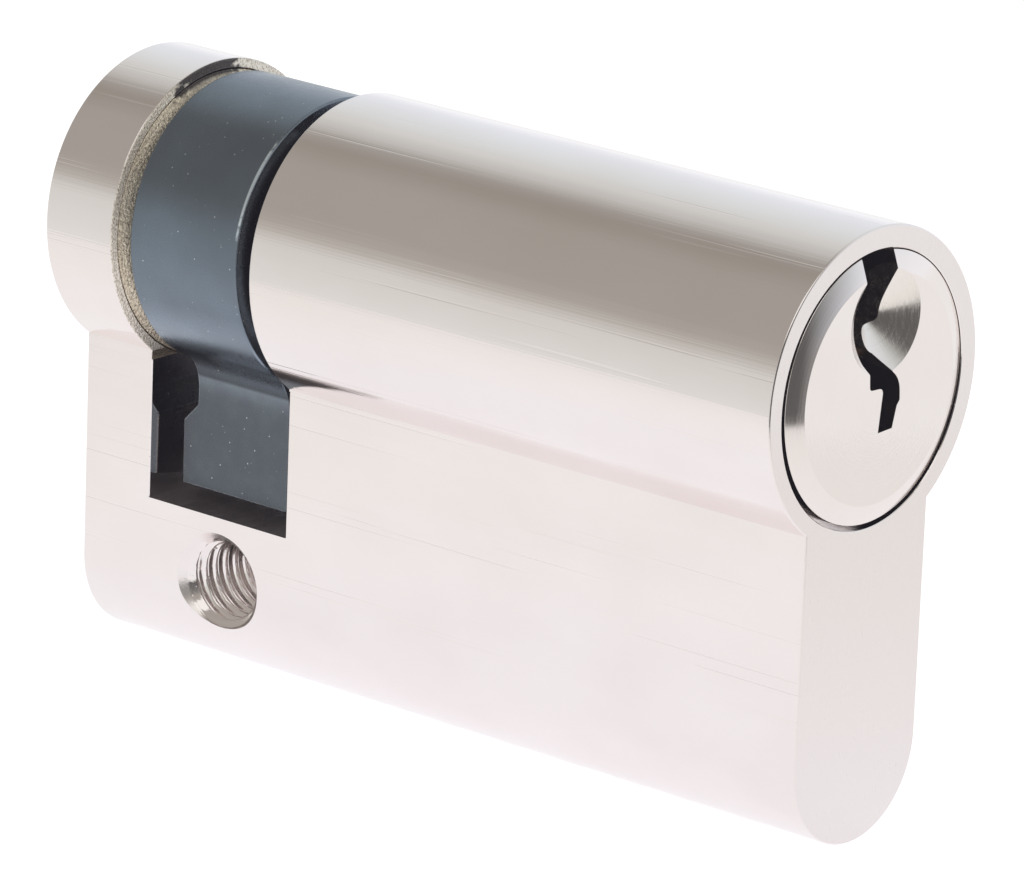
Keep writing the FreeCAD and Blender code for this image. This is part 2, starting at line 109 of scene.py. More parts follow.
HEAD_R = 7.2
HEAD_BACK_X = 38.05
PLUG_R = 6.5
TAIL_R = 4.9
CLIP_GROOVE_X, CLIP_GROOVE_R = (3.95, 4.65), 4.4
CLIP_INNER_R, CLIP_OUTER_R, CLIP_GAP_HALF = 4.45, 6.9, 2.5
TONGUE_SLOT_HALF, TONGUE_SLOT_REACH, TONGUE_SLOT_DEPTH = 1.5, 6.0, 3.2
RIM_BEVEL_WIDTH, RIM_BEVEL_DEPTH = 1.1, 0.4
KEYWAY_AT = Vector((-0.42, AXIS_Z + 0.165))
KEYWAY_BACK_X = 7.0
LEAD_IN = Vector((PLUG_FACE_X, 0.23, AXIS_Z + 3.565))
LEAD_IN_R, LEAD_IN_DEPTH = 2.85, 1.65

CAM_RING_R = 8.0
CAM_BORE_R = 5.0
NOSE_HALF = 3.4
NOSE_REACH = 14.8
NOSE_ROOT_R = 2.8
NECK_DROP, NECK_DEPTH = (10.95, 9.8), 1.1
CAM_ROUND = 0.13
LUG_NOTCH_HALF, LUG_NOTCH_REACH = 1.55, 6.45
COUPLING_R, COUPLING_FRONT_X, TONGUE_ROOT_X = 4.85, -0.6, -0.7
LUG_HALF, LUG_REACH = 1.45, 6.3
TONGUE_HALF, TONGUE_REACH = 1.4, 4.2

FLOOR_Z = HOUSING_LOW.z


# ---------------------------------------------------------------- outlines
def arc(centre, radius, start, stop, steps):
    """Points on an arc between two angles in degrees, both ends included."""
    points = []
    for i in range(steps + 1):
        angle = math.radians(start + (stop - start) * i / steps)
        points.append((centre[0] + radius * math.cos(angle), centre[1] + radius * math.sin(angle)))
    return points


def bow(first, middle, last, steps=8):
    """Points on the arc through three points."""
    ax, ay, bx, by, cx, cy = *first, *middle, *last
    det = 2 * (ax * (by - cy) + bx * (cy - ay) + cx * (ay - by))
    a2, b2, c2 = ax * ax + ay * ay, bx * bx + by * by, cx * cx + cy * cy
    centre = ((a2 * (by - cy) + b2 * (cy - ay) + c2 * (ay - by)) / det,
              (a2 * (cx - bx) + b2 * (ax - cx) + c2 * (bx - ax)) / det)
    angles = [math.degrees(math.atan2(p[1] - centre[1], p[0] - centre[0])) for p in (first, middle, last)]
    sweep = (angles[2] - angles[0]) % 360
    if (angles[1] - angles[0]) % 360 > sweep:
        sweep -= 360
    radius = math.dist(centre, first)
    return arc(centre, radius, angles[0], angles[0] + sweep, steps)


def softened(points, radius, steps=3, closed=True):
    """The outline with each sharp corner replaced by a small arc; corners on the axis stay."""
    made = []
    count = len(points)
    for i, here in enumerate(points):
        before, after = Vector(points[i - 1]), Vector(points[(i + 1) % count])
        here = Vector(here)
        if abs(here.y) < 1e-6 or (not closed and i in (0, count - 1)):
            made.append(tuple(here))
            continue
        into, out = (here - before), (after - here)
        turn = into.angle(out)
        cut = min(radius * math.tan(turn / 2), 0.45 * into.length, 0.45 * out.length)
        if turn < 0.05 or cut < 1e-5:
            made.append(tuple(here))
            continue
        start, stop = here - into.normalized() * cut, here + out.normalized() * cut
        for k in range(steps + 1):
            s = k / steps
            made.append(tuple(start * (1 - s) ** 2 + here * 2 * s * (1 - s) + stop * s * s))
    return made


def oblong(half_wide, half_high, middle=0.0):
    """The corners of an upright rectangle, its middle at a height."""
    low, high = middle - half_high, middle + half_high
    return [(-half_wide, low), (half_wide, low), (half_wide, high), (-half_wide, high)]


# ---------------------------------------------------------------- meshes
def mesh_object(name, points, faces):
    """An object at the origin from points in millimetres, its faces pointing outwards."""
    mesh = bpy.data.meshes.new(name)
    mesh.from_pydata([Vector(p) * MM for p in points], [], faces)
    bm = bmesh.new()
    bm.from_mesh(mesh)
    bmesh.ops.remove_doubles(bm, verts=bm.verts, dist=1e-8)
    bmesh.ops.recalc_face_normals(bm, faces=bm.faces)
    bm.to_mesh(mesh)
    bm.free()
    made = bpy.data.objects.new(name, mesh)
    bpy.context.scene.collection.objects.link(made)
    return made


def laid(axis, along, u, v):
    """The (x, y, z) of a point so far along an axis and at (u, v) across it."""
    return {"X": (along, u, v), "Y": (u, along, v), "Z": (u, v, along)}[axis]


def turned(name, section, centre, axis="X", steps=128, start=0.0, stop=360.0):
    """A closed section of (along, radius) turned about a line through centre along X, Y or Z."""
    whole = stop - start > 359.9
    columns = steps if whole else steps + 1
    points, rows = [], []
    for along, radius in section:
        row = []
        for j in range(columns if radius > 1e-6 else 1):
            angle = math.radians(start + (stop - start) * j / steps)
            u, v = radius * math.cos(angle), radius * math.sin(angle)
            row.append(len(points))
            points.append([c + o for c, o in zip(centre, laid(axis, along, u, v))])
        rows.append(row * columns if len(row) == 1 else row)
    faces = []
    for one, two in zip(rows, rows[1:] + rows[:1]):
        for j in range(steps):
            k = (j + 1) % columns
            quad = list(dict.fromkeys((one[j], one[k], two[k], two[j])))
            if len(quad) > 2:
                faces.append(quad)
    if not whole:
        faces += [[row[0] for row in rows], [row[-1] for row in rows]]
    return mesh_object(name, points, faces)


def stacked(name, rings):
    """A solid through rings of equally many points, closed by flat ends."""
    count = len(rings[0])
    points = [p for ring in rings for p in ring]
    faces = [list(range(count)), list(range(len(points) - count, len(points)))]
    for r in range(len(rings) - 1):
        for i in range(count):
            k = (i + 1) % count
            faces.append([r * count + i, r * count + k, (r + 1) * count + k, (r + 1) * count + i])
    return mesh_object(name, points, faces)


def prism(name, outline, low, high, axis="X"):
    """An outline drawn across an axis, carried from low to high along it."""
    return stacked(name, [[laid(axis, along, u, v) for u, v in outline] for along in (low, high)])


def plain_mesh(piece):
    """Turn what the piece's modifiers make into its own mesh and drop the modifiers."""
    view = bpy.context.evaluated_depsgraph_get()
    mesh = bpy.data.meshes.new_from_object(piece.evaluated_get(view))
    piece.modifiers.clear()
    piece.data = mesh


def combined(piece, tools, operation):
    """Cut tools out of a piece, or join them to it, one after another, then throw the tools away."""
    for tool in tools:
        step = piece.modifiers.new("step", "BOOLEAN")
        step.operation = operation
        step.solver = "EXACT"
        step.object = tool
    plain_mesh(piece)
    for tool in tools:
        bpy.data.objects.remove(tool)


def cut_away(piece, cutters):
    """Cut tools out of a piece and drop the slivers that leaves."""
    combined(piece, cutters, "DIFFERENCE")
    bm = bmesh.new()
    bm.from_mesh(piece.data)
    bmesh.ops.remove_doubles(bm, verts=bm.verts, dist=2e-7)
    bmesh.ops.dissolve_degenerate(bm, edges=bm.edges, dist=1e-7)
    bm.to_mesh(piece.data)
    bm.free()


def smooth(piece, angle=32):
    """Smooth shading broken at corners, with large flats keeping their own direction."""
    piece.data.shade_smooth()
    piece.data.set_sharp_from_angle(angle=math.radians(angle))
    weighted = piece.modifiers.new("weighted", "WEIGHTED_NORMAL")
    weighted.keep_sharp = True
    plain_mesh(piece)
    return piece


# ---------------------------------------------------------------- housing
def euro_outline(inset):
    """The euro profile drawn in by a little, as (y, z) points: barrel, side, foot and side."""
    radius, half = BARREL_R - inset, STEM_R - inset
    join = math.degrees(math.asin(half / radius))
    barrel = arc((0, AXIS_Z), radius, join - 90, 270 - join, 192)
    foot = arc((0, FOOT_Z), half, 180, 360, 64)
    return barrel + foot


def housing_blank():
    """The profile as one bar with softly rounded ends."""
    rings = edge_rings(REAR_X, FRONT_X, END_ROUND)
    return stacked("housing", [[(x, y, z) for y, z in euro_outline(inset)] for x, inset in rings])


def rolled_corner(wall, way, surface, size, over):
    """What a small round on a slot's edge takes away, as (x, height) points; way is into the metal."""
    points = []
    for k in range(5):
        angle = math.radians(10 + 70 * k / 4)
        points.append((wall + way * size * (1 - math.cos(angle)), surface - size * (1 - math.sin(angle))))
    return points + [(wall + way * (size + over), surface + over), (wall - way * over, surface + over),
                     (wall - way * over, surface - size - over)]


def slot_tools():
    """The cam slot, with a small chamfer where it breaks out of the barrel and of the stem."""
    reach, c, over = BARREL_R + 2, SLOT_CHAMFER, 0.5
    tools = [prism("slot", [(SLOT_REAR_X, SLOT_FLOOR_Z), (SLOT_FRONT_X, SLOT_FLOOR_Z),
                            (SLOT_FRONT_X, AXIS_Z + reach), (SLOT_REAR_X, AXIS_Z + reach)],
                   -reach, reach, "Y")]
    join = math.degrees(math.asin(STEM_R / BARREL_R))
    join_z = AXIS_Z - math.sqrt(BARREL_R ** 2 - STEM_R ** 2)
    for wall, way in ((SLOT_FRONT_X, 1), (SLOT_REAR_X, -1)):
        section = rolled_corner(wall, way, BARREL_R, c, over)
        tools.append(turned("barrel_break", section, (0, 0, AXIS_Z), steps=192,
                            start=join - 90 + 1, stop=270 - join - 1))
        for side in (1, -1):
            corner = [(x, side * r) for x, r in rolled_corner(wall, way, STEM_R, c, over)]
            tools.append(prism("stem_break", corner, SLOT_FLOOR_Z + 0.02, join_z - 0.1, "Z"))
    return tools


def bore_tools():
    """The plug's bore, its head's bore and the collar's bore.

    The pin springs push the plug up and aside, so the gap round its head is wider below and to one side.
    """
    m, over = BORE_MOUTH, 1.0
    plug_bore = [(SLOT_FRONT_X - over, 0), (HEAD_BORE_X + over, 0), (HEAD_BORE_X + over, PLUG_BORE_R),
                 (SLOT_FRONT_X - over, PLUG_BORE_R)]
    head_bore = [(HEAD_BORE_X, 0), (FRONT_X + over, 0), (FRONT_X + over, HEAD_LIP_R + m + over),
                 (FRONT_X - m, HEAD_LIP_R), (HEAD_BORE_X, HEAD_LIP_R)]
    bearing_bore = [(BEARING_LOW.x - 0.1, 0), (SLOT_REAR_X + over, 0),
                    (SLOT_REAR_X + over, BEARING_BORE_R + m + over), (SLOT_REAR_X - m, BEARING_BORE_R),
                    (BEARING_LOW.x - 0.1, BEARING_BORE_R)]
    sag = (0, HEAD_SAG.x, AXIS_Z + HEAD_SAG.y)
    return [turned("plug_bore", plug_bore, (0, 0, AXIS_Z), steps=160),
            turned("head_bore", head_bore, sag, steps=192),
            turned("bearing_bore", bearing_bore, (0, 0, AXIS_Z), steps=160)]


def thread_tool():
    """The tapped hole: a rounded thread form wound along Y, opening into a countersink at each side."""
    around, per_pitch = 96, 26
    half = STEM_R + 1.0
    rows = int(2 * half / THREAD_PITCH * per_pitch)
    points, faces = [], []
    for r in range(rows + 1):
        y = -half + 2 * half * r / rows
        for j in range(around):
            angle = math.tau * j / around
            phase = (y / THREAD_PITCH - j / around) % 1.0
            # Flat at the crest and at the root, with a smooth flank between them.
            flank = min(1.0, max(0.0, 1.3 - abs(phase - 0.5) * 2.6))
            flank = flank * flank * (3 - 2 * flank)
            radius = THREAD_MINOR_R + (THREAD_MAJOR_R - THREAD_MINOR_R) * flank
            radius = max(radius, SINK_R - (STEM_R - abs(y)))
            points.append((radius * math.cos(angle), y, radius * math.sin(angle)))
    for r in range(rows):
        for j in range(around):
            k = (j + 1) % around
            faces.append([r * around + j, r * around + k, (r + 1) * around + k, (r + 1) * around + j])
    faces += [list(range(around)), list(range(rows * around, (rows + 1) * around))]
    return mesh_object("thread", points, faces)


def chamber_tools(low, high):
    """The round pin chambers, from low to high."""
    section = [(low, 0), (low, CHAMBER_R), (high, CHAMBER_R), (high, 0)]
    return [turned("chamber", section, (x, 0, 0), "Z", steps=48) for x in PIN_X]


def make_housing():
    """The euro-profile bar with its cam slot, bores, pin chambers and tapped fixing hole."""
    piece = housing_blank()
    chambers = chamber_tools(HOUSING_LOW.z - 1, AXIS_Z - PLUG_BORE_R + 1)
    cut_away(piece, slot_tools() + bore_tools() + chambers + [thread_tool()])
    return smooth(piece)


# ---------------------------------------------------------------- plug
def keyway_outline():
    """The warded keyway as (y, z) points: straight at the top, bent round a ward below it."""
    top = HEAD_R + 0.5
    path = [(-1.1, top), (-1.1, 5.2)]
    path += bow((-1.1, 5.2), (-1.5, 3.1), (-0.95, 1.35), 12)[1:]
    path += [(-0.45, 0.75), (-0.4, 0.1)]
    path += bow((-0.4, 0.1), (-0.34, -0.06), (-0.18, -0.12), 4)[1:]
    path += [(0.45, -0.15)]
    path += bow((0.45, -0.15), (0.64, -0.26), (0.7, -0.48), 4)[1:]
    path += [(0.45, -2.5), (1.6, -2.45), (1.92, -1.3), (2.14, -1.05), (2.1, -0.5)]
    path += bow((2.1, -0.5), (1.9, 0.1), (1.5, 0.52), 6)[1:]
    path += [(0.4, 1.62)]
    path += bow((0.4, 1.62), (-0.02, 2.3), (0.45, 2.88), 10)[1:]
    path += [(1.15, 3.02)]
    path += bow((1.15, 3.02), (1.4, 3.15), (1.5, 3.45), 4)[1:]
    path += [(1.5, top)]
    return [(y + KEYWAY_AT.x, z + KEYWAY_AT.y) for y, z in path]


def make_plug():
    """The plug: head, groove for the clip, keyway, lead-in for the key, chambers and slotted tail."""
    groove_rear, groove_front = CLIP_GROOVE_X
    section = [(PLUG_LOW.x, 0), (PLUG_LOW.x, TAIL_R), (groove_rear, TAIL_R), (groove_rear, CLIP_GROOVE_R),
               (groove_front, CLIP_GROOVE_R), (groove_front, TAIL_R), (SLOT_FRONT_X, TAIL_R),
               (SLOT_FRONT_X, PLUG_R), (HEAD_BACK_X, PLUG_R), (HEAD_BACK_X, HEAD_R),
               (PLUG_FACE_X - RIM_BEVEL_DEPTH, HEAD_R), (PLUG_FACE_X, HEAD_R - RIM_BEVEL_WIDTH),
               (PLUG_FACE_X, 0)]
    piece = turned("plug_turned", softened(section, 0.06), (0, 0, AXIS_Z), steps=192)
    cone = [(PLUG_FACE_X - LEAD_IN_DEPTH, 0), (PLUG_FACE_X + 1, LEAD_IN_R * (1 + 1 / LEAD_IN_DEPTH)),
            (PLUG_FACE_X + 1, 0)]
    tools = [prism("keyway", keyway_outline(), KEYWAY_BACK_X, PLUG_FACE_X + 1),
             turned("lead_in", cone, (0, LEAD_IN.y, LEAD_IN.z), steps=128)]
    tools += chamber_tools(AXIS_Z - PLUG_R - 1, AXIS_Z + PLUG_CHAMBER_RISE)
    tools.append(prism("tongue_slot", oblong(TONGUE_SLOT_HALF, TONGUE_SLOT_REACH, AXIS_Z),
                       PLUG_LOW.x - 1, PLUG_LOW.x + TONGUE_SLOT_DEPTH))
    cut_away(piece, tools)
    # The rim's bevel is shallow, so its corners need a smaller angle than the others to stay crisp.
    return smooth(piece, angle=14)


# ---------------------------------------------------------------- cam
def nose_outline(inset):
    """The nose as (y, z) points, drawn in by a little: round tip, flat sides and rounded roots."""
    half, reach = NOSE_HALF - inset, NOSE_REACH - inset
    ring, root = CAM_RING_R - 0.015, NOSE_ROOT_R + inset
    root_y = half + root
    root_z = -math.sqrt((ring + root) ** 2 - root_y ** 2)
    meet = math.degrees(math.atan2(root_z, root_y))
    tip = math.degrees(math.asin(half / reach))
    outline = arc((0, 0), reach, 270 - tip, 270 + tip, 16)
    outline += arc((root_y, root_z), root, 180, 180 + meet, 10)
    outline += [(NOSE_HALF - 1.5, -CAM_BORE_R - 0.8), (1.5 - NOSE_HALF, -CAM_BORE_R - 0.8)]
    outline += arc((-root_y, root_z), root, -meet, 0, 10)
    return [(y, z + AXIS_Z) for y, z in outline]


def edge_rings(low, high, size):
    """(place, inset) pairs along a thickness, rounded at both its ends."""
    turns = [math.radians(90 * k / 4) for k in range(5)]
    near = [(low + size * (1 - math.sin(t)), size * (1 - math.cos(t))) for t in turns]
    return near[::-1] + [(low + high - x, inset) for x, inset in near]


def make_cam():
    """The cam: a ring joined to a nose that is cut back under the ring, with notches for the lugs."""
    rings = edge_rings(CAM_LOW.x, CAM_HIGH.x, CAM_ROUND)
    section = [(x, CAM_RING_R - inset) for x, inset in rings]
    section = [(CAM_LOW.x, CAM_BORE_R)] + section + [(CAM_HIGH.x, CAM_BORE_R)]
    piece = turned("cam_ring", section, (0, 0, AXIS_Z), steps=192)
    nose = stacked("nose", [[(x, y, z) for y, z in nose_outline(inset)] for x, inset in rings])
    low, high = AXIS_Z - NECK_DROP[0], AXIS_Z - NECK_DROP[1]
    wide, over, face = NOSE_HALF + 3, 1.0, CAM_LOW.x
    notch = [(face - over, low - over / NECK_DEPTH * (high - low)), (face + NECK_DEPTH, high),
             (face + NECK_DEPTH, AXIS_Z - CAM_BORE_R), (face - over, AXIS_Z - CAM_BORE_R)]
    cut_away(nose, [prism("neck", softened(notch, 0.3), -wide, wide, "Y")])
    combined(piece, [nose], "UNION")
    lug_notch = oblong(LUG_NOTCH_HALF, LUG_NOTCH_REACH, AXIS_Z)
    cut_away(piece, [prism("lug_notch", lug_notch, CAM_LOW.x - 1, CAM_HIGH.x + 1)])
    return smooth(piece)


# ---------------------------------------------------------------- other turned pieces
def make_collar():
    """The brass collar of the short end, its rim turned to a bevel, with the stub that carries the cam."""
    rim, face = BEARING_BORE_R, SLOT_REAR_X
    section = [(BEARING_LOW.x, 0), (BEARING_LOW.x, rim), (face - 0.2, rim - 0.02), (face - 0.03, rim - 0.06),
               (BEARING_SHOULDER_X, BEARING_RIM_R), (BEARING_SHOULDER_X, BEARING_STUB_R),
               (BEARING_HIGH.x, BEARING_STUB_R), (BEARING_HIGH.x, 0)]
    return smooth(turned("collar_turned", softened(section, 0.05), (0, 0, AXIS_Z), steps=160))


def make_clip():
    """The spring clip: a flat ring with a gap at its top."""
    section = [(CLIP_LOW.x, CLIP_INNER_R), (CLIP_HIGH.x, CLIP_INNER_R),
               (CLIP_HIGH.x, CLIP_OUTER_R), (CLIP_LOW.x, CLIP_OUTER_R)]
    gap = math.degrees(math.asin(CLIP_GAP_HALF / CLIP_OUTER_R))
    piece = turned("clip_wound", softened(section, 0.12), (0, 0, AXIS_Z), steps=96,
                   start=90 + gap, stop=450 - gap)
    return smooth(piece)


def make_coupling():
    """The coupling: a disc with two lugs for the cam and a tongue for the plug's tail."""
    low, high = box_mm("coupling")
    section = [(low.x, 0), (low.x, COUPLING_R), (COUPLING_FRONT_X, COUPLING_R), (COUPLING_FRONT_X, 0)]
    piece = turned("coupling_made", softened(section, 0.15), (0, 0, AXIS_Z), steps=96)
    lugs = prism("lugs", softened(oblong(LUG_HALF, LUG_REACH), 0.3), low.x, COUPLING_FRONT_X)
    tongue = prism("tongue", softened(oblong(TONGUE_HALF, TONGUE_REACH), 0.3), TONGUE_ROOT_X, high.x)
    for part in (lugs, tongue):
        part.data.transform(Matrix.Translation((0, 0, AXIS_Z * MM)))
    combined(piece, [lugs, tongue], "UNION")
    return smooth(piece)


def make_pin(node, section, soft):
    """A pin turned about its own upright axis, from a section measured up from its foot."""
    low, high = box_mm(node)
    centre = ((low.x + high.x) / 2, 0, low.z)
    return smooth(turned(node + "_turned", softened(section(high.z - low.z), soft), centre, "Z", steps=64))


def key_pin_section(length):
    """A key pin: a flat foot on the driver and a tapered tip for the key's cut."""
    return [(0, 0), (0, 0.9), (0.14, PIN_R), (length - 0.8, PIN_R), (length, 0.5), (length, 0)]


def bevelled_bar(length, radius, bevel, *waist):
    """A round bar with bevelled ends, and the points of a waist between them where it has one."""
    return [(0, 0), (0, radius - bevel), (bevel, radius), *waist, (length - bevel, radius),
            (length, radius - bevel), (length, 0)]


def driver_section(length):
    return bevelled_bar(length, PIN_R, PIN_BEVEL)


def spool_section(length):
    far = length - SPOOL_END
    return bevelled_bar(length, PIN_R, PIN_BEVEL, (SPOOL_END, PIN_R), (SPOOL_END, WAIST_R),
                        (far, WAIST_R), (far, PIN_R))


def stopper_section(length):
    return bevelled_bar(length, CHAMBER_R, STOPPER_BEVEL)


# ---------------------------------------------------------------- springs
def spring_tree():
    """A node tree that winds a coil of round wire to a height, the wire's ends capped."""
    tree = bpy.data.node_groups.new("wound_spring", "GeometryNodeTree")
    face = tree.interface
    face.new_socket("Geometry", in_out="OUTPUT", socket_type="NodeSocketGeometry")
    for label in ("Coil radius", "Height", "Turns", "Wire radius"):
        face.new_socket(label, in_out="INPUT", socket_type="NodeSocketFloat")
    face.new_socket("Finish", in_out="INPUT", socket_type="NodeSocketMaterial")
    given = tree.nodes.new("NodeGroupInput")
    result = tree.nodes.new("NodeGroupOutput")
    coil = tree.nodes.new("GeometryNodeCurveSpiral")
    coil.inputs["Resolution"].default_value = 28
    wire = tree.nodes.new("GeometryNodeCurvePrimitiveCircle")
    wire.inputs["Resolution"].default_value = 10
    sweep = tree.nodes.new("GeometryNodeCurveToMesh")
    sweep.inputs["Fill Caps"].default_value = True
    shade = tree.nodes.new("GeometryNodeSetShadeSmooth")
    real = tree.nodes.new("GeometryNodeRealizeInstances")
    finish = tree.nodes.new("GeometryNodeSetMaterial")
    link = tree.links.new
    link(given.outputs["Coil radius"], coil.inputs["Start Radius"])
    link(given.outputs["Coil radius"], coil.inputs["End Radius"])
    link(given.outputs["Height"], coil.inputs["Height"])
    link(given.outputs["Turns"], coil.inputs["Rotations"])
    link(given.outputs["Wire radius"], wire.inputs["Radius"])
    link(coil.outputs["Curve"], sweep.inputs["Curve"])
    link(wire.outputs["Curve"], sweep.inputs["Profile Curve"])
    link(sweep.outputs["Mesh"], shade.inputs["Geometry"])
    link(shade.outputs["Geometry"], real.inputs["Geometry"])
    link(real.outputs["Geometry"], finish.inputs["Geometry"])
    link(given.outputs["Finish"], finish.inputs["Material"])
    link(finish.outputs["Geometry"], result.inputs["Geometry"])
    return tree


def make_spring(number, tree, finish):
    """One spring, wound between the stopper and the driver pin."""
    low, high = box_mm(f"spring_{number}")
    radius, height = (high.x - low.x) / 2 - WIRE_R, high.z - low.z - 2 * WIRE_R
    given = {"Coil radius": radius * MM, "Height": height * MM, "Turns": COIL_TURNS,
             "Wire radius": WIRE_R * MM, "Finish": finish}
    mesh = bpy.data.meshes.new("spring_start")
    piece = bpy.data.objects.new(f"spring_coil_{number}", mesh)
    bpy.context.scene.collection.objects.link(piece)
    wind = piece.modifiers.new("wind", "NODES")
    wind.node_group = tree
    for item in tree.interface.items_tree:
        if item.item_type == "SOCKET" and item.in_out == "INPUT":
            wind[item.identifier] = given[item.name]
    plain_mesh(piece)
    piece.data.transform(Matrix.Translation(Vector(((low.x + high.x) / 2, 0, low.z + WIRE_R)) * MM))
    return piece, low, high


# ---------------------------------------------------------------- finishes
GOLDEN = (0.9, 0.82, 0.68)
ROUGH_PITCH = 0.09
# From which angle to which the turned rim gets painted shade and the cam's front edge a painted highlight,
# and how wide the change is, in degrees from the top.
RIM_SHADE_TURN = (-9, 24, 3)
BRIGHT_TURN = (38, 74, 4)
# Painted light and shade on the nose: how light it is painted at a height in millimetres, from its tip up to
# the ring, and overall.
NOSE_LIGHT_AND_SHADE = [(9.0, 0.62), (9.9, 0.68), (10.8, 1.0), (10.98, 0.42), (11.6, 0.42), (12.0, 0.58),
              (12.65, 0.62), (12.85, 0.92), (14.0, 0.93), (16.0, 0.61)]
NOSE_LIGHT = 1.5
# Over which stretch one finish gives way to another, in millimetres. X and Z are the frame's own, R is out
# from the barrel's axis, and the last three are down from that axis, out from the axis of the fixing hole
# and out from the middle of the lead-in.
END_FACES_X = (9.0, 9.5)
RIM_INNER_R = (7.8, 7.9)
RIM_FOOT_Z = (11.6, 12.1)
RIM_SHADE_INNER_R = (7.6, 7.8)
NECK_Z = (8.0, 12.5)
HEEL_Z = (7.9, 8.0)
NOSE_DARK_DROP = (7.2, 8.0)
SINK_FACE = (2.52, 2.97)
LEAD_IN_EDGE = (2.95, 3.0)


def put(tree, kind, inputs=None, **settings):
    """A shader node with its settings and its inputs, each input a value or another node's output."""
    made = tree.nodes.new("ShaderNode" + kind)
    for key, value in settings.items():
        setattr(made, key, value)
    for key, value in (inputs or {}).items():
        if isinstance(value, bpy.types.NodeSocket):
            tree.links.new(value, made.inputs[key])
        else:
            made.inputs[key].default_value = value
    return made


def sums(tree, operation, *values):
    """The result of one sum on one to three numbers."""
    return put(tree, "Math", dict(enumerate(values)), operation=operation).outputs[0]


def times(tree, first, *others):
    """The product of a number with one or more others."""
    for other in others:
        first = sums(tree, "MULTIPLY", first, other)
    return first


def length_of(tree, vector):
    return put(tree, "VectorMath", {0: vector}, operation="LENGTH").outputs["Value"]


def own_place(tree):
    """A point in the piece's own coordinates, in metres."""
    return put(tree, "TexCoord").outputs["Object"]


def own_xyz(tree):
    return put(tree, "SeparateXYZ", {0: own_place(tree)}).outputs


def facing(tree):
    """The x, y and z of the way a face points."""
    return put(tree, "SeparateXYZ", {0: put(tree, "NewGeometry").outputs["True Normal"]}).outputs


def span(tree, value, low, high, to_low=0.0, to_high=1.0, soft=False):
    """value carried from low..high to to_low..to_high and held there."""
    made = put(tree, "MapRange", {"Value": value, "From Min": low, "From Max": high,
                                  "To Min": to_low, "To Max": to_high})
    made.interpolation_type = "SMOOTHSTEP" if soft else "LINEAR"
    return made.outputs["Result"]


def stretch(tree, value, low, high, to_low=0.0, to_high=1.0):
    """The same for a value in metres between two places in millimetres."""
    return span(tree, value, low * MM, high * MM, to_low, to_high)


def blended(tree, share, one, two):
    """A colour that goes from one to two with share."""
    return put(tree, "Mix", {0: share, 6: one, 7: two}, data_type="RGBA").outputs[2]


def eased(tree, share, one, two):
    """A number that goes from one to two with share."""
    return put(tree, "Mix", {0: share, 2: one, 3: two}, data_type="FLOAT").outputs[0]


def tinted(tree, paint, tint):
    """A colour multiplied by another."""
    mix = put(tree, "Mix", {0: 1.0, 6: paint, 7: tint}, data_type="RGBA", blend_type="MULTIPLY")
    return mix.outputs[2]


def grain(tree, size, detail=2.0, shift=0.0):
    """Noise on the piece's own coordinates, its grain about size = (x, y, z) millimetres."""
    scale = [1 / (s * MM) for s in size]
    mapped = put(tree, "Mapping", {"Vector": own_place(tree), "Scale": scale,
                                   "Location": (shift, shift, shift)})
    noise = put(tree, "TexNoise", {"Vector": mapped.outputs[0], "Scale": 1.0, "Detail": detail})
    return noise.outputs[0]


def lathe_marks(tree, pitch, centre=(0.0, AXIS_Z)):
    """Fine rings round the X axis line through centre (y, z), a little uneven round the turn."""
    to_centre = (0, -centre[0] * MM, -centre[1] * MM)
    moved = put(tree, "VectorMath", {0: own_place(tree), 1: to_centre}, operation="ADD").outputs[0]
    x, y, z = put(tree, "SeparateXYZ", {0: moved}).outputs
    radius = length_of(tree, put(tree, "CombineXYZ", {"Y": y, "Z": z}).outputs[0])
    turn = sums(tree, "ARCTAN2", z, y)
    ring = put(tree, "CombineXYZ", {"X": times(tree, radius, 1 / (pitch * MM)), "Y": times(tree, turn, 0.5),
                                    "Z": times(tree, x, 1 / (pitch * MM))})
    return put(tree, "TexNoise", {"Vector": ring.outputs[0], "Scale": 1.0, "Detail": 2.0}).outputs[0]


def edges(tree, radius):
    """0 on flats and 1 on outer and inner edges, as far as radius millimetres from them."""
    rounded = put(tree, "Bevel", {"Radius": radius * MM}, samples=4)
    true = put(tree, "NewGeometry").outputs["Normal"]
    same = put(tree, "VectorMath", {0: rounded.outputs[0], 1: true}, operation="DOT_PRODUCT")
    return span(tree, same.outputs["Value"], 0.995, 0.85)


def metal(name, colour, deep, roughness, lines, relief, wear=0.0, worn=None, marks=None, extra=None):
    """A metal finish: lines is the grain of its working, marks are faint wide changes of tone.

    extra may change the paint, the roughness and the relief where the piece is worked another way.
    """
    made = bpy.data.materials.new(name)
    made.use_nodes = True
    tree = made.node_tree
    shader = tree.nodes["Principled BSDF"]
    shader.inputs["Metallic"].default_value = 1.0
    worked = lines(tree)
    tone = grain(tree, marks or (9, 5, 5), 3.0, 4.0)
    paint = blended(tree, span(tree, tone, 0.35, 0.7), (*colour, 1), (*deep, 1))
    rough = sums(tree, "ADD", span(tree, worked, 0.3, 0.7, roughness[0], roughness[1]),
                 span(tree, tone, 0.3, 0.75, -0.015, 0.03))
    height = times(tree, worked, relief)
    if extra:
        paint, rough, height = extra(tree, paint, rough, height)
    if wear:
        patches = span(tree, grain(tree, (0.5, 0.5, 0.5), 2.0, 9.0), 0.35, 0.65, 0.3, 1.0)
        worn_edge = times(tree, edges(tree, 0.12), patches)
        paint = blended(tree, times(tree, worn_edge, wear), paint, (*worn, 1))
        rough = sums(tree, "ADD", rough, times(tree, worn_edge, 0.06))
    tree.links.new(paint, shader.inputs["Base Color"])
    tree.links.new(rough, shader.inputs["Roughness"])
    bump = put(tree, "Bump", {"Height": height, "Distance": MM, "Strength": 1.0})
    tree.links.new(bump.outputs[0], shader.inputs["Normal"])
    return made


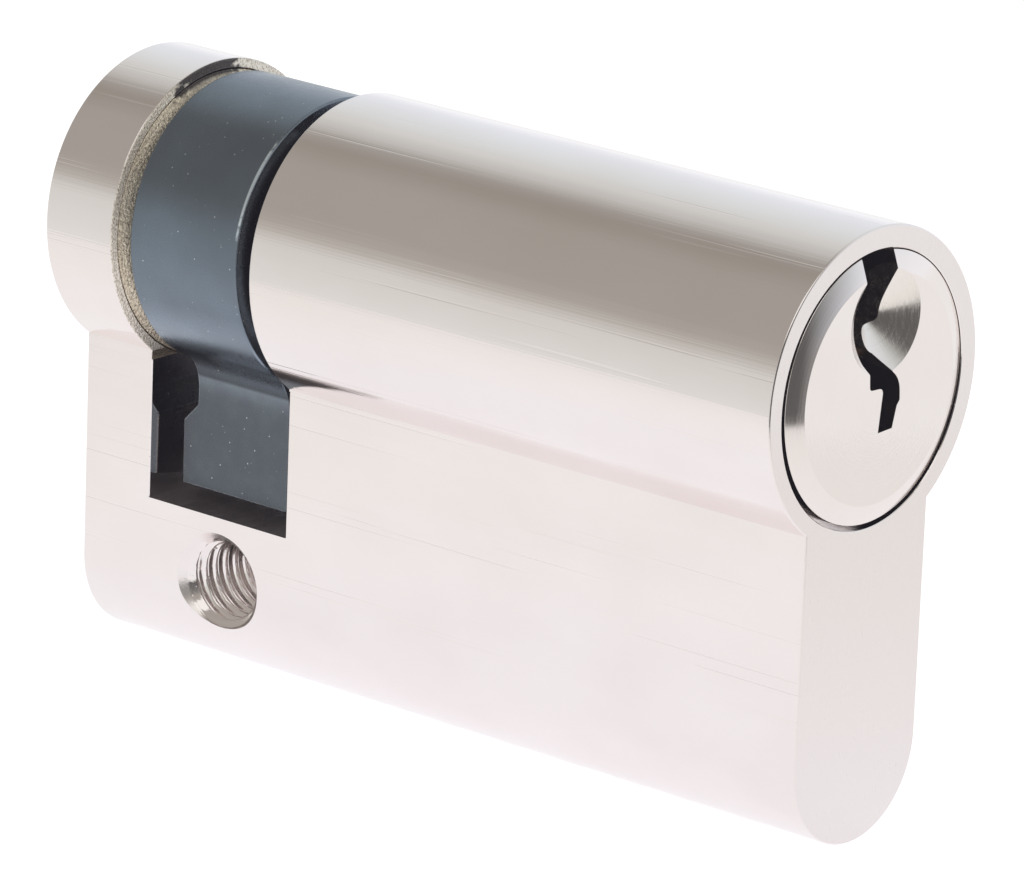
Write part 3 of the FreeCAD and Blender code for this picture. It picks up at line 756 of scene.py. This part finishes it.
def drawn_lines(tree):
    """Long faint lines along X, a broad slow wave under them and a few deeper single lines."""
    fine = grain(tree, (40.0, 0.1, 0.1), 2.0)
    broad = grain(tree, (80.0, 0.8, 0.8), 1.0, 3.0)
    single = span(tree, grain(tree, (25.0, 0.22, 0.22), 1.0, 7.0), 0.66, 0.74, 0.0, 0.5)
    wave = sums(tree, "ADD", times(tree, fine, 0.3), times(tree, broad, 0.7))
    return sums(tree, "SUBTRACT", wave, single)


def about_axis(tree):
    """How far a point is from the barrel's axis, in metres, and its angle from the top towards -Y."""
    _, y, z = own_xyz(tree)
    up = sums(tree, "SUBTRACT", z, AXIS_Z * MM)
    away = length_of(tree, put(tree, "CombineXYZ", {"X": y, "Y": up}).outputs[0])
    return away, sums(tree, "ARCTAN2", times(tree, y, -1.0), up)


def between(tree, value, low, high, soft):
    """1 where value lies between low and high, with edges as wide as soft."""
    return times(tree, span(tree, value, low - soft, low + soft),
                 span(tree, value, high - soft, high + soft, 1.0, 0.0))


def level_with(tree, value, place, reach, soft):
    """1 where value, in metres, is within reach of a place, all three given in millimetres."""
    return between(tree, value, (place - reach) * MM, (place + reach) * MM, soft * MM)


def bared(tree, paint):
    """Rough-turned metal: golden, streaked with darker scratches, and painted shade near the top."""
    streaks = grain(tree, (0.2, 0.1, 0.16), 3.0, 5.0)
    away, turn = about_axis(tree)
    ragged = span(tree, grain(tree, (0.5, 0.5, 0.5), 3.0, 8.0), 0.3, 0.7, -0.12, 0.12)
    first, last, soft = (math.radians(angle) for angle in RIM_SHADE_TURN)
    # Painted shade: the top of the turned rim, towards its outer edge, is painted nearly black.
    rim_painted_shade = between(tree, sums(tree, "ADD", turn, ragged), first, last, soft)
    rim_painted_shade = times(tree, rim_painted_shade, stretch(tree, away, *RIM_SHADE_INNER_R, 0.25, 0.93))
    paint = blended(tree, span(tree, streaks, 0.45, 0.66, 0.0, 0.8), paint, (0.4, 0.33, 0.26, 1))
    return blended(tree, rim_painted_shade, paint, (0.03, 0.025, 0.03, 1))


def scored(tree):
    """The relief of rough turning: rings crossed by short scratches."""
    rings = times(tree, lathe_marks(tree, ROUGH_PITCH), 0.012)
    scratches = times(tree, grain(tree, (0.22, 0.12, 0.16), 3.0, 1.0), 0.05)
    return sums(tree, "ADD", rings, scratches)


def end_and_slot_faces(tree, paint, rough, height):
    """The saw-cut ends are satin, the slot's walls polished, and the turned rim beside the cam is bare."""
    x, _, z = own_xyz(tree)
    to_x, _, to_z = facing(tree)
    away = about_axis(tree)[0]
    across = span(tree, sums(tree, "ABSOLUTE", to_x), 0.75, 0.95)
    outer = times(tree, across, stretch(tree, sums(tree, "ABSOLUTE", x), *END_FACES_X))
    satin = grain(tree, (0.5, 0.14, 0.9), 3.0, 2.0)
    paint = blended(tree, outer, paint, (0.85, 0.79, 0.77, 1))
    rough = eased(tree, across, rough, 0.06)
    rough = eased(tree, outer, rough, span(tree, satin, 0.3, 0.7, 0.2, 0.28))
    height = eased(tree, across, height, 0.0)
    height = eased(tree, outer, height, times(tree, satin, 0.0012))

    on_wall = level_with(tree, x, SLOT_REAR_X, 0.08, 0.01)
    beside_cam = times(tree, stretch(tree, away, *RIM_INNER_R), stretch(tree, z, *RIM_FOOT_Z))
    rim = times(tree, on_wall, span(tree, to_x, 0.5, 0.7), beside_cam)
    rings = lathe_marks(tree, ROUGH_PITCH)
    dished = times(tree, away, -0.6 / MM)
    paint = blended(tree, rim, paint, bared(tree, (1.0, 0.93, 0.82, 1)))
    rough = eased(tree, rim, rough, span(tree, rings, 0.3, 0.7, 0.4, 0.55))
    height = eased(tree, rim, height, sums(tree, "ADD", scored(tree), dished))

    from_hole = length_of(tree, put(tree, "CombineXYZ", {"X": x, "Y": z}).outputs[0])
    sink = between(tree, from_hole, SINK_FACE[0] * MM, SINK_FACE[1] * MM, 0.03 * MM)
    rough = eased(tree, sink, rough, 0.24)

    sawn = times(tree, level_with(tree, z, SLOT_FLOOR_Z, 0.06, 0.02), span(tree, to_z, 0.5, 0.7))
    saw = grain(tree, (0.12, 3.0, 3.0), 3.0, 6.0)
    paint = blended(tree, sawn, paint, (0.42, 0.36, 0.35, 1))
    rough = eased(tree, sawn, rough, span(tree, saw, 0.3, 0.7, 0.35, 0.65))
    height = eased(tree, sawn, height, times(tree, saw, 0.03))
    return paint, rough, height


def bare_collar(tree, paint, rough, height):
    """The collar is bare all over, and its relief is all from rough turning."""
    return bared(tree, paint), rough, scored(tree)


def lead_in_marks(tree, paint, rough, height):
    """The drilled lead-in keeps the drill's rings and a few scratches from keys."""
    moved = put(tree, "VectorMath", {0: own_place(tree), 1: LEAD_IN * MM}, operation="SUBTRACT").outputs[0]
    near = stretch(tree, length_of(tree, moved), *LEAD_IN_EDGE, 1.0, 0.0)
    inside = times(tree, span(tree, facing(tree)[0], 0.90, 0.89, 0.0, 1.0), near)
    rings = lathe_marks(tree, 0.06, (LEAD_IN.y, LEAD_IN.z))
    scratched = grain(tree, (0.4, 0.07, 0.5), 3.0, 11.0)
    marked = sums(tree, "ADD", times(tree, rings, 0.5), times(tree, scratched, 0.5))
    paint = blended(tree, inside, paint, (0.86, 0.8, 0.75, 1))
    rough = eased(tree, inside, rough, span(tree, marked, 0.35, 0.65, 0.12, 0.3))
    height = eased(tree, inside, height, times(tree, marked, 0.009))
    return paint, rough, height


def ramp(tree, value, stops):
    """A colour band through (place 0..1, colour) stops."""
    made = put(tree, "ValToRGB", {"Fac": value})
    band = made.color_ramp
    while len(band.elements) < len(stops):
        band.elements.new(0.5)
    for element, (place, colour) in zip(band.elements, stops):
        element.position = place
        element.color = (*colour, 1)
    return made.outputs["Color"]


def specks(tree, cell, size, share):
    """Tiny round specks of about size, one in some cells of about cell, both in millimetres."""
    spots = put(tree, "TexVoronoi", {"Vector": own_place(tree), "Scale": 1 / (cell * MM)})
    chosen = put(tree, "SeparateColor", {0: spots.outputs["Color"]}).outputs[0]
    return times(tree, span(tree, spots.outputs["Distance"], size / cell, size / cell * 0.6),
                 span(tree, chosen, 1 - share, 1.01 - share))


def lit_by_height(tree, paint, z):
    """Painted light and shade on the nose from its tip up: bands of painted highlight and painted shade,
    darkest just under the ring.
    """
    low, high = NOSE_LIGHT_AND_SHADE[0][0], NOSE_LIGHT_AND_SHADE[-1][0]
    stops = [((place - low) / (high - low), (tone, tone, tone)) for place, tone in NOSE_LIGHT_AND_SHADE]
    painted_light_and_shade = ramp(tree, stretch(tree, z, low, high), stops)
    return tinted(tree, tinted(tree, paint, painted_light_and_shade), (NOSE_LIGHT, NOSE_LIGHT, NOSE_LIGHT, 1))


def nose_painted_light_and_dust(tree, paint, rough, height):
    """The nose is painted darker than the ring and mottled, with painted light and shade by height and
    painted shade on the neck's rear faces; a painted highlight on the front edge and dust all over.
    """
    x, _, z = own_xyz(tree)
    # The nose below the ring is painted darker than the ring, mottled.
    nose_darkening = stretch(tree, z, AXIS_Z - NOSE_DARK_DROP[0], AXIS_Z - NOSE_DARK_DROP[1])
    mottle = span(tree, grain(tree, (1.2, 1.2, 1.2), 3.0, 2.0), 0.35, 0.65)
    nose_dark_paint = blended(tree, mottle, (0.118, 0.132, 0.154, 1), (0.128, 0.15, 0.165, 1))
    paint = lit_by_height(tree, blended(tree, nose_darkening, paint, nose_dark_paint), z)
    rearward = span(tree, facing(tree)[0], -0.3, -0.5)
    # Painted shade: the rear faces of the neck under the ring are painted nearly black.
    neck = times(tree, rearward, between(tree, z, NECK_Z[0] * MM, NECK_Z[1] * MM, 0.1 * MM))
    paint = blended(tree, times(tree, neck, 0.85), paint, (0.01, 0.01, 0.012, 1))
    heel = times(tree, rearward, stretch(tree, z, *HEEL_Z, 1.0, 0.0))
    paint = blended(tree, heel, paint, (0.19, 0.19, 0.2, 1))
    dust = sums(tree, "MAXIMUM", times(tree, specks(tree, 0.6, 0.05, 0.7), 0.6),
                times(tree, specks(tree, 0.4, 0.028, 0.5), 0.4))
    paint = blended(tree, dust, paint, (0.85, 0.88, 0.9, 1))
    # Painted highlight: a thin pale line on the cam's front edge, over part of its turn from the top.
    ragged = span(tree, grain(tree, (0.4, 0.4, 0.4), 2.0, 8.0), 0.3, 0.7, -0.1, 0.1)
    turn = sums(tree, "ADD", about_axis(tree)[1], ragged)
    first, last, soft = (math.radians(angle) for angle in BRIGHT_TURN)
    front = CAM_HIGH.x - CAM_ROUND
    bright = times(tree, between(tree, x, (front - 0.09) * MM, (front + 0.05) * MM, 0.03 * MM),
                   between(tree, turn, first, last, soft))
    paint = blended(tree, bright, paint, (0.8, 0.9, 0.97, 1))
    return paint, rough, height


def speckle(tree):
    """The fine grain of a blued zinc coat."""
    small = grain(tree, (0.09, 0.09, 0.09), 3.0)
    broad = grain(tree, (0.5, 0.5, 0.5), 2.0, 6.0)
    return sums(tree, "ADD", times(tree, small, 0.6), times(tree, broad, 0.4))


nickel = metal("nickel_plate", (0.917, 0.858, 0.835), (0.89, 0.825, 0.795), (0.08, 0.12), drawn_lines, 0.01,
               wear=0.25, worn=(0.97, 0.93, 0.9), extra=end_and_slot_faces)
plug_nickel = metal("plug_nickel", (0.885, 0.82, 0.79), (0.86, 0.79, 0.755), (0.08, 0.14),
                    lambda tree: lathe_marks(tree, 0.11), 0.0018, wear=0.25, worn=(0.97, 0.93, 0.9),
                    extra=lead_in_marks)
blued_steel = metal("blued_zinc", (0.205, 0.25, 0.3), (0.18, 0.215, 0.255), (0.24, 0.32), speckle, 0.006,
                    wear=0.6, worn=(0.55, 0.6, 0.65), marks=(4, 4, 4), extra=nose_painted_light_and_dust)
spring_wire = metal("spring_wire", (0.56, 0.56, 0.57), (0.45, 0.45, 0.46), (0.2, 0.3),
                    lambda tree: grain(tree, (0.2, 0.2, 0.2)), 0.001)
turned_brass = metal("turned_brass", (0.83, 0.64, 0.33), (0.76, 0.55, 0.26), (0.16, 0.26),
                     lambda tree: grain(tree, (3.0, 3.0, 0.1)), 0.002, wear=0.3, worn=(0.9, 0.75, 0.45))
turned_collar = metal("turned_collar", GOLDEN, (0.8, 0.69, 0.52), (0.35, 0.55),
                      lambda tree: lathe_marks(tree, ROUGH_PITCH), 0.012, wear=0.3, worn=(0.95, 0.92, 0.86),
                      extra=bare_collar)


# ---------------------------------------------------------------- pieces on their bodies
def place_piece(piece, body, finish, slot, *nodes):
    """Give a finished piece its finish, hide the CAD nodes it stands for and hang it on its body."""
    if finish is not None:
        piece.data.materials.clear()
        piece.data.materials.append(finish)
    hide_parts(*nodes)
    if body is not None:
        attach(piece, body)


place_piece(make_housing(), "housing", nickel, "nickel_plated_brass", "cylinder_body")
place_piece(make_plug(), "plug_and_cam", plug_nickel, "plug_nickel_brass", "plug")
place_piece(make_cam(), "plug_and_cam", blued_steel, "blued_zinc_steel", "cam")
place_piece(make_coupling(), "plug_and_cam", blued_steel, "blued_zinc_steel", "coupling")
place_piece(make_collar(), "housing", turned_collar, "bare_brass", "rear_bearing")
place_piece(make_clip(), "plug_and_cam", spring_wire, "spring_steel", "retaining_clip")
coil_tree = spring_tree()
for number in range(1, PIN_COUNT + 1):
    key_pin, driver = f"key_pin_{number}", f"driver_pin_{number}"
    stopper, driver_body = f"chamber_stopper_{number}", f"driver_{number}"
    place_piece(make_pin(key_pin, key_pin_section, PIN_ROUND), key_pin, turned_brass, "bare_brass", key_pin)
    shape = spool_section if number in SPOOLS else driver_section
    place_piece(make_pin(driver, shape, PIN_ROUND), driver_body, turned_brass, "bare_brass", driver)
    place_piece(make_pin(stopper, stopper_section, STOPPER_ROUND), "housing", turned_brass,
                "bare_brass", stopper)
    spring, low, high = make_spring(number, coil_tree, spring_wire)
    place_piece(spring, None, None, "spring_steel", f"spring_{number}")
    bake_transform(spring)


# ---------------------------------------------------------------- stage
FLOOR_HALF = 6000.0
FLOOR_REACH = 88.0
# The room's brightness in degrees round the X axis: the back wall, under the floor, the front at 0,
# overhead at 90 and the back wall again.
ROOM_BANDS = [(-180, (0.95, 0.96, 0.97)), (-60, (0.9, 0.9, 0.9)), (-20, (0.79, 0.8, 0.79)),
              (8, (0.7, 0.7, 0.68)), (22, (0.44, 0.425, 0.39)), (32, (0.39, 0.37, 0.34)),
              (70, (0.38, 0.36, 0.33)), (88, (0.32, 0.3, 0.265)), (97, (0.36, 0.345, 0.32)),
              (107, (0.55, 0.55, 0.53)), (120, (0.68, 0.7, 0.69)), (137, (0.75, 0.8, 0.825)),
              (160, (0.82, 0.87, 0.94)), (180, (1.0, 1.03, 1.08))]


def make_floor():
    """A plain pale floor that glows softly under the piece and lets all other light through beyond."""
    floor = prism("floor", oblong(FLOOR_HALF, FLOOR_HALF), FLOOR_Z - 1.0, FLOOR_Z, "Z")
    paper = bpy.data.materials.new("pale_floor")
    paper.use_nodes = True
    tree = paper.node_tree
    shader = tree.nodes["Principled BSDF"]
    shader.inputs["Base Color"].default_value = (0.35, 0.35, 0.35, 1)
    shader.inputs["Roughness"].default_value = 1.0
    shader.inputs["Specular IOR Level"].default_value = 0.0
    middle = put(tree, "VectorMath", {0: own_place(tree), 1: (-15 * MM, 0, 0)}, operation="ADD").outputs[0]
    away = length_of(tree, middle)
    near = stretch(tree, away, FLOOR_REACH, FLOOR_REACH + 3, 1.0, 0.0)
    seen = put(tree, "LightPath").outputs["Is Camera Ray"]
    glow = stretch(tree, away, 20, FLOOR_REACH, 0.8, 0.68)
    tint = blended(tree, stretch(tree, away, 22, 60), (0.985, 0.985, 1.04, 1), (1.0, 0.995, 0.99, 1))
    tree.links.new(blended(tree, seen, tint, (1, 1, 1, 1)), shader.inputs["Emission Color"])
    strength = sums(tree, "MAXIMUM", glow, times(tree, seen, 0.96))
    tree.links.new(strength, shader.inputs["Emission Strength"])
    clear = put(tree, "BsdfTransparent")
    whole = put(tree, "MixShader", {0: sums(tree, "MAXIMUM", near, seen), 1: clear.outputs[0],
                                    2: shader.outputs[0]})
    tree.links.new(whole.outputs[0], tree.nodes["Material Output"].inputs["Surface"])
    floor.data.materials.append(paper)


def band_of(tree, angle, middle, half):
    """1 within half degrees of middle, with a soft edge of 4 degrees."""
    off = sums(tree, "ABSOLUTE", sums(tree, "SUBTRACT", angle, math.radians(middle)))
    return span(tree, off, math.radians(half - 2), math.radians(half + 2), 1.0, 0.0, True)


def make_room():
    """Soft light: a bright wall behind, a dim warm ceiling, a window and a dark card off the keyed end."""
    room = bpy.data.worlds.new("soft_room")
    room.use_nodes = True
    tree = room.node_tree
    x, y, z = put(tree, "SeparateXYZ", {0: put(tree, "TexCoord").outputs["Generated"]}).outputs
    turn = sums(tree, "ARCTAN2", z, times(tree, y, -1.0))
    stops = [((angle + 180) / 360, colour) for angle, colour in ROOM_BANDS]
    sky = ramp(tree, span(tree, turn, -math.pi, math.pi), stops)
    side = sums(tree, "ARCTAN2", y, x)
    rise = sums(tree, "ARCSINE", z)
    card_near = span(tree, side, math.radians(-52), math.radians(-46))
    card_far = span(tree, side, math.radians(10), math.radians(42), 1.0, 0.0)
    card_top = span(tree, rise, math.radians(20), math.radians(32), 1.0, 0.0, True)
    window = times(tree, band_of(tree, side, -40, 41), band_of(tree, rise, 48, 16))
    shown = blended(tree, times(tree, card_near, card_far, card_top), sky, (0.11, 0.108, 0.105, 1))
    shown = blended(tree, window, shown, (1.0, 0.99, 0.97, 1))
    background = tree.nodes["Background"]
    tree.links.new(shown, background.inputs["Color"])
    background.inputs["Strength"].default_value = 1.0
    bpy.context.scene.world = room


def make_camera():
    """The camera at the product view: low, turned to the keyed end, with a long lens."""
    turn, rise, tilt = math.radians(40.04), math.radians(16.87), math.radians(2.182)
    aim, far = Vector((15.0, 0.0, 11.0)), 404.7
    back = Vector((math.sin(turn) * math.cos(rise), -math.cos(turn) * math.cos(rise), math.sin(rise)))
    right = (-back).cross(Vector((0, 0, 1))).normalized()
    up = right.cross(-back)
    leaned = right * math.cos(tilt) + up * math.sin(tilt)
    upright = up * math.cos(tilt) - right * math.sin(tilt)
    lens = bpy.data.cameras.new("view")
    lens.lens = 268.4
    lens.sensor_width = 36.0
    lens.shift_x, lens.shift_y = 0.01684, -0.01219
    lens.clip_start, lens.clip_end = 0.01, 30.0
    camera = bpy.data.objects.new("view", lens)
    place = (aim + back * far) * MM
    camera.matrix_world = Matrix.Translation(place) @ Matrix((leaned, upright, back)).transposed().to_4x4()
    bpy.context.scene.collection.objects.link(camera)
    bpy.context.scene.camera = camera


make_floor()
make_room()
make_camera()
view = bpy.context.scene.view_settings
view.view_transform = "Standard"
view.use_curve_mapping = True
view.curve_mapping.black_level = (-0.012, -0.011, -0.014)
view.curve_mapping.update()
